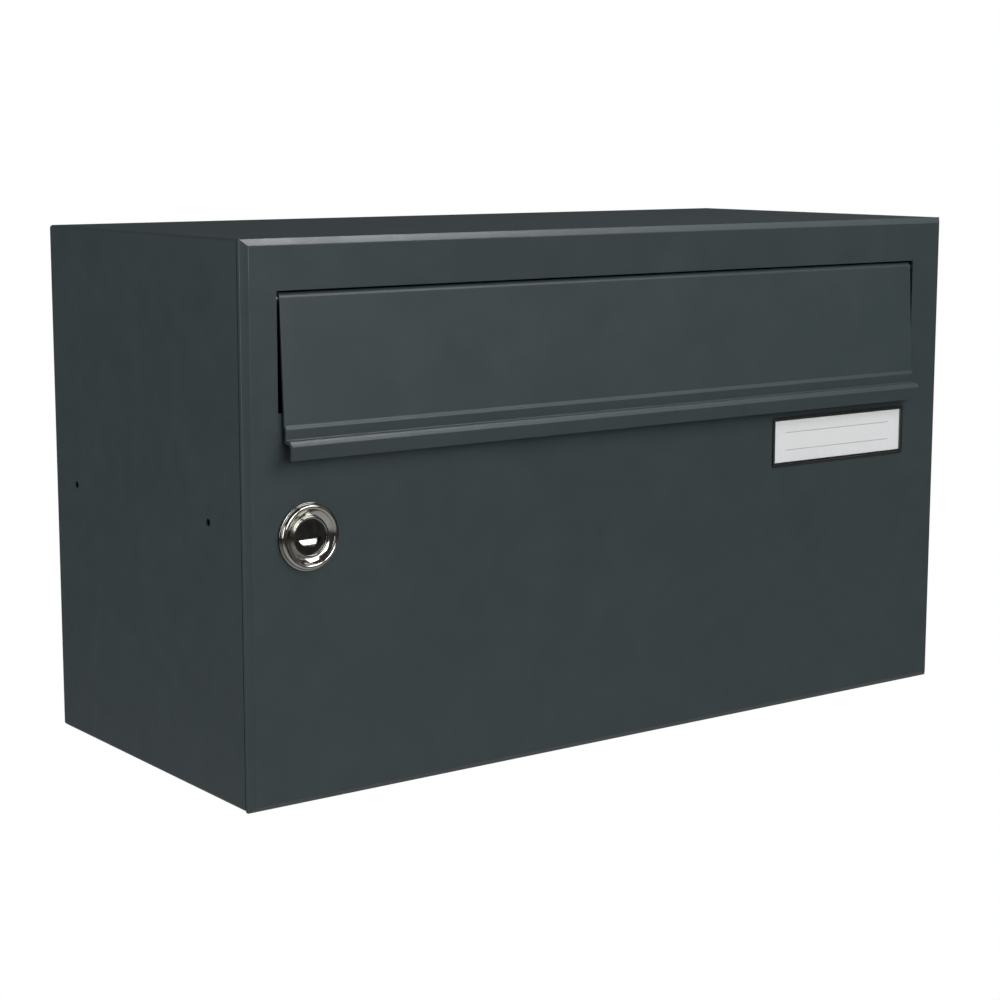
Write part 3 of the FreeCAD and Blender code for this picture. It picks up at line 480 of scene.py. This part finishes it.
def join_grids(parts):
    """Several (points, faces) as one: each part's corner numbers start after the points before it."""
    starts = np.cumsum([0] + [len(points) for points, _ in parts[:-1]])
    points = np.concatenate([points for points, _ in parts])
    faces = [face for start, (_, part) in zip(starts, parts) for face in (np.asarray(part) + start).tolist()]
    return points, faces


def thicken(piece, sheet):
    """Gives an open surface the sheet's thickness, on its inner side."""
    wall = piece.modifiers.new("sheet", "SOLIDIFY")
    wall.thickness = sheet * MM
    wall.offset = -1
    wall.use_even_offset = True
    return piece


# ---- flap ----
def flap_skin():
    """The flap: two outlines with as many points as each other, front and back, curl round the rod and
    run down to the finger lip. Each front point and its back point share a number, so the end faces are
    quads between the two; the outlines are carried along X."""
    rod = np.array(JOINTS["flap_hinge"]["pos_m"])[1:] / MM
    eye = np.array([FACE_Y - rod[0], rod[1]])      # (outwards from the door's face, height)
    bore = (ROD_HIGH[2] - ROD_LOW[2]) / 2 + RUN_GAP
    eye_r = bore + EYE_WALL
    foot = np.array([FLAP_PROUD, APERTURE_TOP - APERTURE_HEIGHT - FLAP_OVERLAP])
    to_foot = foot - eye
    tangent = math.atan2(to_foot[1], to_foot[0]) + math.acos(eye_r / np.hypot(*to_foot))
    turn = np.linspace(math.radians(CURL_END), tangent, 40)[:, None]
    around = np.concatenate([np.cos(turn), np.sin(turn)], 1)
    steps = np.array(LIP_STEPS) * (1, -1)
    front = np.concatenate([[eye + eye_r * around[-1], foot], foot + np.cumsum(steps, axis=0)])
    back = offset_chain(front, FLAP_SHEET)
    back[0] = eye + bore * around[-1]
    front = np.concatenate([eye + eye_r * around[:-1], round_corners(front, LIP_ROUND)])
    back = np.concatenate([eye + bore * around[:-1], round_corners(back, LIP_ROUND)])
    count = len(front)
    loop = np.concatenate([front, back[::-1]])
    points = np.zeros((2, len(loop), 3))
    points[..., 0] = np.array([[FLAP_LOW[0]], [FLAP_HIGH[0]]])
    points[..., 1] = FACE_Y - loop[:, 0]
    points[..., 2] = loop[:, 1]
    step = np.arange(count - 1)
    cap = np.stack([step, step + 1, 2 * count - 2 - step, 2 * count - 1 - step], 1)
    faces = np.concatenate([grid_quads(2, len(loop), wrap_columns=True), cap, cap + len(loop)])
    piece = make_piece("flap_skin", points.reshape(-1, 3), faces, FLAP_COAT_PAINTED_LIGHT, "flap",
                       ["flap_plate"])
    return soften(piece, 0.2, angle=60)


def round_bar(name, profile, centre, axis, finish, body, node, segments=48):
    """A turned piece: the profile goes from pole to pole of its axis."""
    points = lathe_points(profile, centre, axis, segments)
    faces = grid_quads(len(profile), segments, wrap_columns=True)
    return make_piece(name, points.reshape(-1, 3), faces, finish, body, [node])


def turned_bar(name, node, axis, finish, body, chamfer=0.3):
    """A straight rod the size of its CAD part, with a chamfer round each end."""
    low, high = box_mm(node)
    across = [i for i in range(3) if i != axis]
    radius = (high[across[0]] - low[across[0]]) / 2
    centre = (low + high) / 2
    centre[axis] = 0
    start, end = low[axis], high[axis]
    profile = [(0, start), (radius - chamfer, start), (radius, start + chamfer),
               (radius, end - chamfer), (radius - chamfer, end), (0, end)]
    return round_bar(name, profile, centre, axis, finish, body, node)


# ---- hinges ----
def headed_pin(name, node):
    """A hinge pin: chamfered foot, straight shank and a low domed head, whose dome is a cosine of radius."""
    low, high = box_mm(node)
    centre = (low + high) / 2
    centre[2] = 0
    head_r = (high[0] - low[0]) / 2
    under = high[2] - PIN_HEAD_T
    share = np.linspace(1, 0, 9)
    dome = np.stack([head_r * share, under + PIN_HEAD_T * (0.55 + 0.45 * np.cos(share * np.pi / 2))], 1)
    profile = np.concatenate([[(0, low[2]), (PIN_R - 0.4, low[2]), (PIN_R, low[2] + 0.5), (PIN_R, under),
                               (head_r - 0.1, under), (head_r, under + 0.1)], dome])
    return round_bar(name, profile, centre, 2, ZINC, "case", node)


def flat_washer(name, node, axis, inner_r, finish, body, centres=None):
    """A ring with chamfered edges: a closed profile of eight corners turned about each centre."""
    low, high = box_mm(node)
    across = [i for i in range(3) if i != axis]
    outer_r = (high[across[0]] - low[across[0]]) / 2
    if centres is None:
        centres = [((low + high) / 2, low[axis], high[axis])]
    grids = []
    for centre, start, end in centres:
        centre = np.array(centre, float)
        centre[axis] = 0
        c = WASHER_CHAMFER
        profile = [(inner_r + c, start), (outer_r - c, start), (outer_r, start + c), (outer_r, end - c),
                   (outer_r - c, end), (inner_r + c, end), (inner_r, end - c), (inner_r, start + c)]
        points = lathe_points(profile, centre, axis, 72)
        grids.append((points.reshape(-1, 3), grid_quads(8, 72, True, True)))
    points, faces = join_grids(grids)
    return make_piece(name, points, faces, finish, body, [node], smooth_angle=30)


def rubber_pads(name, node, centres, radius, base_y, height, body):
    """Domed pads on a flat: straight side, then a dome whose height is a quarter circle of the radius."""
    turn = np.linspace(0, np.pi / 2, 9)
    crown = min(height * 0.5, 0.8 * radius)
    dome = np.stack([radius - crown + crown * np.cos(turn), height - crown + crown * np.sin(turn)], 1)
    profile = np.concatenate([[(0, 0), (radius, 0)], dome, [(0, height)]])
    profile[:, 1] = base_y - profile[:, 1]
    grids = [(lathe_points(profile, (x, 0, z), 1, 40).reshape(-1, 3),
              grid_quads(len(profile), 40, wrap_columns=True)) for x, z in centres]
    points, faces = join_grids(grids)
    return make_piece(name, points, faces, RUBBER, body, [node])


# ---- lock ----
def arc_through(first, middle, last, steps):
    """Points along the circle through three points, from the first to the last."""
    (ax, ay), (bx, by), (cx, cy) = first, middle, last
    d = 2 * (ax * (by - cy) + bx * (cy - ay) + cx * (ay - by))
    a2, b2, c2 = ax * ax + ay * ay, bx * bx + by * by, cx * cx + cy * cy
    x = (a2 * (by - cy) + b2 * (cy - ay) + c2 * (ay - by)) / d
    y = (a2 * (cx - bx) + b2 * (ax - cx) + c2 * (bx - ax)) / d
    angles = np.unwrap([math.atan2(ay - y, ax - x), math.atan2(by - y, bx - x), math.atan2(cy - y, cx - x)])
    turn = np.linspace(angles[0], angles[2], steps)
    radius = math.hypot(ax - x, ay - y)
    return np.stack([x + radius * np.cos(turn), y + radius * np.sin(turn)], 1)


def lock_face():
    """The lock's housing: one closed profile of (radius, distance in front of the door's face), turned
    about the lock's axis. On the barrel the radius falls by a cosine of (distance / pitch + turn), which
    is a thread, and X is held between the two flats."""
    seat = HEAD_GASKET
    edge = round_corners([(BARREL_R, seat), (HEAD_R, seat), (HEAD_R, seat + 0.6),
                          (HEAD_R - 0.8, seat + 0.62)], 0.2)
    bead = arc_through((HEAD_R - 0.8, seat + 0.62), (HEAD_R - 1.8, seat + 2.4),
                       (HEAD_R - 2.8, seat + 1.6), 24)
    ring = round_corners([(HEAD_R - 2.8, seat + 1.6), (RING_R + 0.35, seat + 0.8), (RING_R, seat + 0.8),
                          (RING_R, seat + 1.8), (BORE_R, seat + 1.8), (BORE_R, -BORE_DEPTH)],
                         [0.3, 0.12, 0.35, 0.25], 7)
    tail = np.array([(TAIL_BORE_R, -BORE_DEPTH), (TAIL_BORE_R, -BARREL_LENGTH),
                     (BARREL_R - 0.5, -BARREL_LENGTH)])
    front = np.concatenate([edge, bead[1:], ring[1:], tail])
    rows = int((BARREL_LENGTH + seat) / THREAD_PITCH * 8)
    along = np.linspace(-BARREL_LENGTH + 0.3, seat - 0.02, rows)
    segments = 128
    turn = np.linspace(0, 2 * np.pi, segments, endpoint=False)[None, :]
    groove = 0.5 + 0.5 * np.cos(2 * np.pi * along[:, None] / THREAD_PITCH + turn)
    run_out = np.clip((seat - along[:, None]) / 1.5, 0, 1)
    radius = np.concatenate([np.repeat(front[:, :1], segments, 1),
                             BARREL_R - THREAD_DEPTH * groove * run_out])
    out = np.concatenate([front[:, 1], along])[:, None]
    x, z = radius * np.cos(turn), radius * np.sin(turn)
    on_barrel = (np.arange(len(radius)) >= len(front) - 1) | (np.arange(len(radius)) == 0)
    x = np.where(on_barrel[:, None], np.clip(x, -BARREL_FLAT, BARREL_FLAT), x)
    points = np.stack([LOCK[0] + x, np.broadcast_to(FACE_Y - out, x.shape), LOCK[2] + z], -1)
    faces = grid_quads(len(radius), segments, True, True)
    return make_piece("lock_face", points.reshape(-1, 3), faces, CHROME, "door",
                      ["lock_housing"], 50)


def hexagon_nut():
    """The nut: at a turn the hexagon's radius is its half width over the cosine of the turn from the
    nearest flat, and near each end it is no more than a cone that starts at that half width."""
    low, high = box_mm("lock_nut")
    half = (high[0] - low[0]) / 2
    thick = high[1] - low[1]
    segments = 144
    turn = np.linspace(0, 2 * np.pi, segments, endpoint=False)
    from_flat = np.mod(turn + np.pi / 6, np.pi / 3) - np.pi / 6
    hexagon = half / np.cos(from_flat)
    depth = np.array([0, 0.25, 0.5, 0.75, 1.0, 1.25])
    depth = np.concatenate([depth, thick - depth[::-1]])
    cone = half - 0.15 + np.minimum(depth, thick - depth) * math.sqrt(3)
    outer = np.minimum(hexagon[None, :], cone[:, None])
    bore = BARREL_R + 0.1
    inner_depth = np.array([thick, thick - 0.4, 0.4, 0])
    inner = np.repeat(np.array([bore + 0.5, bore, bore, bore + 0.5])[:, None], segments, 1)
    radius = np.concatenate([outer, inner])
    y = low[1] + np.concatenate([depth, inner_depth])[:, None]
    points = np.stack([LOCK[0] + radius * np.cos(turn), np.broadcast_to(y, radius.shape),
                       LOCK[2] + radius * np.sin(turn)], -1)
    faces = grid_quads(len(radius), segments, True, True)
    return make_piece("hexagon_nut", points.reshape(-1, 3), faces, ZINC, "door",
                      ["lock_nut"], 25)


# ---- name card ----
def card_frame():
    """The holder's rim and wall: a closed profile of (distance out from the card's outline, distance in
    front of the door's face), carried round the outline; at a corner the outward direction turns
    through a quarter circle, so a point is its corner plus distance x (cosine, sine)."""
    rim, wall, proud, deep = HOLDER_RIM, HOLDER_WALL, FACE_Y - HOLDER_LOW[1], HOLDER_HIGH[1] - FACE_Y
    section = round_corners([(wall, -deep), (wall, 0), (rim, 0), (rim, proud), (0, proud), (0, -deep)],
                            [0.05, 0.15, 0.45, 0.25], 6)
    left, right = HOLDER_LOW[0] + rim, HOLDER_HIGH[0] - rim
    bottom, top = HOLDER_LOW[2] + rim, HOLDER_HIGH[2] - rim
    corners = np.array([(right, top), (left, top), (left, bottom), (right, bottom)])
    turn = np.radians([[start + step for step in np.linspace(0, 90, 9)] for start in (0, 90, 180, 270)])
    base = np.repeat(corners, 9, axis=0)
    away = np.stack([np.cos(turn), np.sin(turn)], -1).reshape(-1, 2)
    place = base[None] + section[:, None, :1] * away[None]
    points = np.zeros((len(section), len(base), 3))
    points[..., [0, 2]] = place
    points[..., 1] = FACE_Y - section[:, 1:2]
    grids = [(points.reshape(-1, 3), grid_quads(len(section), len(base), True, True))]
    middle = (left + right) / 2
    for side, edge in ((1, top + wall), (-1, bottom - wall)):
        for x in (middle - BARB_APART / 2, middle + BARB_APART / 2):
            grids.append(barb(x, edge, side))
    points, faces = join_grids(grids)
    return make_piece("card_frame", points, faces, HOLDER_PLASTIC, "door",
                      ["nameplate_holder"])


def pillow(name, node, profile, finish, columns=25, lines=9):
    """A sheet behind a rectangle: a profile of (inset from the sheet's outline, distance behind its front)
    is carried round the outline. Points are spread evenly along each side, so that the loops inset by
    half of the height close up into one line, front and back."""
    low, high = box_mm(node)
    inset, behind = np.asarray(profile, float).T[:, :, None]
    along, up = np.linspace(0, 1, columns)[None, :-1], np.linspace(0, 1, lines)[None, :-1]
    left, right, bottom, top = low[0] + inset, high[0] - inset, low[2] + inset, high[2] - inset
    x = np.concatenate([left + (right - left) * along, right + 0 * up, right - (right - left) * along,
                        left + 0 * up], 1)
    z = np.concatenate([bottom + 0 * along, bottom + (top - bottom) * up, top + 0 * along,
                        top - (top - bottom) * up], 1)
    points = np.stack([x, low[1] + behind + 0 * x, z], -1)
    faces = grid_quads(len(profile), x.shape[1], wrap_columns=True)
    return make_piece(name, points.reshape(-1, 3), faces, finish, "door", [node])


def pillow_profile(half, thickness, crown, edge, start=0.0):
    """Profile for a pillow: the front rises by crown x (1 - (1 - share of the way in) squared)."""
    share = np.linspace(0, 1, 13)[::-1]
    front = np.stack([edge + (half - edge) * share, start + crown * (1 - share) ** 2], 1)
    return np.concatenate([front, [(0, start + crown + edge), (0, thickness - edge / 2),
                                   (edge / 2, thickness), (half, thickness)]])


def barb(x, edge, side):
    """A snap barb: a wedge section (height from the wall, depth) carried along X."""
    front = FACE_Y + SHEET + 0.1
    section = np.array([(0, front), (BARB_H, front), (BARB_H, front + 0.3), (0, front + BARB_L)])
    points = np.zeros((2, 4, 3))
    points[..., 0] = np.array([[x - BARB_W / 2], [x + BARB_W / 2]])
    points[..., 1] = section[:, 1]
    points[..., 2] = edge + side * section[:, 0]
    faces = np.concatenate([grid_quads(2, 4, wrap_columns=True), [[0, 1, 2, 3], [4, 5, 6, 7]]])
    return points.reshape(-1, 3), faces


door_skin()
flap_skin()
turned_bar("flap_rod_bar", "flap_rod", 0, ZINC, "door")
for name in ("hinge_pin_upper", "hinge_pin_lower"):
    headed_pin(name.replace("hinge", "headed"), name)
lock_face()
hexagon_nut()
card_frame()
CARD_HALF = (CARD_HIGH[2] - CARD_LOW[2]) / 2
WINDOW_HALF = (WINDOW_HIGH[2] - WINDOW_LOW[2]) / 2
pillow("clear_pane", "nameplate_window",
       pillow_profile(WINDOW_HALF, WINDOW_HIGH[1] - WINDOW_LOW[1] - CARD_AIR, 0.1, 0.15),
       WINDOW)
pillow("card_sheet", "name_card",
       pillow_profile(CARD_HALF, CARD_HIGH[1] - CARD_LOW[1], 0.05, 0.02, CARD_AIR), CARD)
flat_washer("clamp_washer", "lock_washer", 1, BARREL_R + 0.1, ZINC, "door")
WASHERS_LOW, WASHERS_HIGH = box_mm("hinge_washers")
HINGE = np.array(JOINTS["door_hinge"]["pos_m"]) / MM
flat_washer("arm_washers", "hinge_washers", 2, PIN_R, NYLON, "case",
            [(HINGE, WASHERS_LOW[2], WASHERS_LOW[2] + WASHER_T),
             (HINGE, WASHERS_HIGH[2] - WASHER_T, WASHERS_HIGH[2])])
PAD_LOW, PAD_HIGH = box_mm("door_bumpers")
DOOR_PAD_X, DOOR_PAD_Z = PAD_LOW[0] + DOOR_PAD_R, PAD_HIGH[2] - DOOR_PAD_R
rubber_pads("door_pads", "door_bumpers",
            [(x, z) for x in (DOOR_PAD_X, 0) for z in (-DOOR_PAD_Z, DOOR_PAD_Z)],
            DOOR_PAD_R, PAD_HIGH[1], PAD_HIGH[1] - PAD_LOW[1], "case")
FLAP_PAD_LOW, FLAP_PAD_HIGH = box_mm("flap_bumpers")
rubber_pads("flap_pads", "flap_bumpers",
            [(x, (FLAP_PAD_LOW[2] + FLAP_PAD_HIGH[2]) / 2)
             for x in (FLAP_PAD_LOW[0] + FLAP_PAD_R, FLAP_PAD_HIGH[0] - FLAP_PAD_R)],
            FLAP_PAD_R, FLAP_PAD_HIGH[1], FLAP_PAD_HIGH[1] - FLAP_PAD_LOW[1], "door")


# ---- camera ----
def aim(thing, place, target):
    """Puts a camera or a lamp at place, looking at target."""
    thing.location = place
    thing.rotation_euler = (Vector(target) - Vector(place)).to_track_quat("-Z", "Y").to_euler()


LAMPS_AIM = (0, -0.08, 0)             # middle of the box
LOOK_AT = Vector((-0.0165, -0.0758, -0.0075))
VIEW_TURN = math.radians(-36.05)      # round the object, to its left
VIEW_RISE = math.radians(8.96)
VIEW_DISTANCE = 1.0064

camera = bpy.data.objects.new("camera", bpy.data.cameras.new("camera"))
bpy.context.scene.collection.objects.link(camera)
camera.data.lens = 79.06
camera.data.sensor_width = 36.0
camera.data.shift_x = 0.0217
camera.data.shift_y = -0.0185
away = Vector((math.sin(VIEW_TURN) * math.cos(VIEW_RISE), -math.cos(VIEW_TURN) * math.cos(VIEW_RISE),
               math.sin(VIEW_RISE)))
aim(camera, LOOK_AT + away * VIEW_DISTANCE, LOOK_AT)
bpy.context.scene.camera = camera
bpy.context.scene.view_settings.view_transform = "Standard"


# ---- studio ----
def softbox(name, direction, distance, size, strength):
    """A rectangular area lamp seen from the object in the given direction; strength is its radiance."""
    lamp = bpy.data.lights.new(name, "AREA")
    lamp.shape = "RECTANGLE"
    lamp.size, lamp.size_y = size
    lamp.energy = strength * math.pi * size[0] * size[1]
    rig = bpy.data.objects.new(name, lamp)
    bpy.context.scene.collection.objects.link(rig)
    place = Vector(direction).normalized() * distance
    aim(rig, place, LAMPS_AIM)


def white_to_camera(tree, shader_output, target):
    """The camera sees plain white; every other ray sees the given shader."""
    path = tree.nodes.new("ShaderNodeLightPath")
    white = tree.nodes.new("ShaderNodeEmission")
    white.inputs["Strength"].default_value = 1.0
    mix = tree.nodes.new("ShaderNodeMixShader")
    tree.links.new(path.outputs["Is Camera Ray"], mix.inputs["Fac"])
    tree.links.new(shader_output, mix.inputs[1])
    tree.links.new(white.outputs["Emission"], mix.inputs[2])
    tree.links.new(mix.outputs["Shader"], target)


def studio_world(level):
    """Even light of the given level from everywhere."""
    world = bpy.data.worlds.new("studio")
    bpy.context.scene.world = world
    world.use_nodes = True
    tree = world.node_tree
    ambient = tree.nodes["Background"]
    ambient.inputs["Color"].default_value = (1, 1, 1, 1)
    ambient.inputs["Strength"].default_value = level
    white_to_camera(tree, ambient.outputs["Background"], tree.nodes["World Output"].inputs["Surface"])


def studio_floor(drop, half):
    """A plain pale floor, well below the box."""
    z = cad_box[0].z - drop
    mesh = bpy.data.meshes.new("studio_floor")
    mesh.from_pydata([(-half, -half, z), (half, -half, z), (half, half, z), (-half, half, z)],
                     [], [(0, 1, 2, 3)])
    floor = bpy.data.objects.new("studio_floor", mesh)
    bpy.context.scene.collection.objects.link(floor)
    finish = bpy.data.materials.new("pale_floor")
    finish.use_nodes = True
    tree = finish.node_tree
    paint = tree.nodes["Principled BSDF"]
    paint.inputs["Base Color"].default_value = (0.5, 0.5, 0.5, 1)
    paint.inputs["Roughness"].default_value = 0.9
    white_to_camera(tree, paint.outputs["BSDF"], tree.nodes["Material Output"].inputs["Surface"])
    mesh.materials.append(finish)


studio_world(0.04)
studio_floor(0.6, 4.0)
softbox("overhead", (0.50, -0.10, 0.87), 1.6, (1.0, 1.0), 0.85)
softbox("over_tight", (0.35, -0.12, 0.93), 1.6, (0.4, 0.4), 17.0)
softbox("front_high", (0.35, -0.80, 0.60), 2.0, (1.0, 1.0), 4.9)
softbox("front", (-0.10, -0.98, 0.25), 2.2, (1.0, 0.8), 7.0)
softbox("left_front", (-0.92, -0.35, 0.25), 2.0, (0.8, 1.0), 0.4)
softbox("left", (-1.0, 0.10, 0.20), 2.0, (1.0, 1.0), 6.5)
softbox("front_right_high", (0.75, -0.60, 0.35), 2.0, (0.8, 0.6), 0.3)
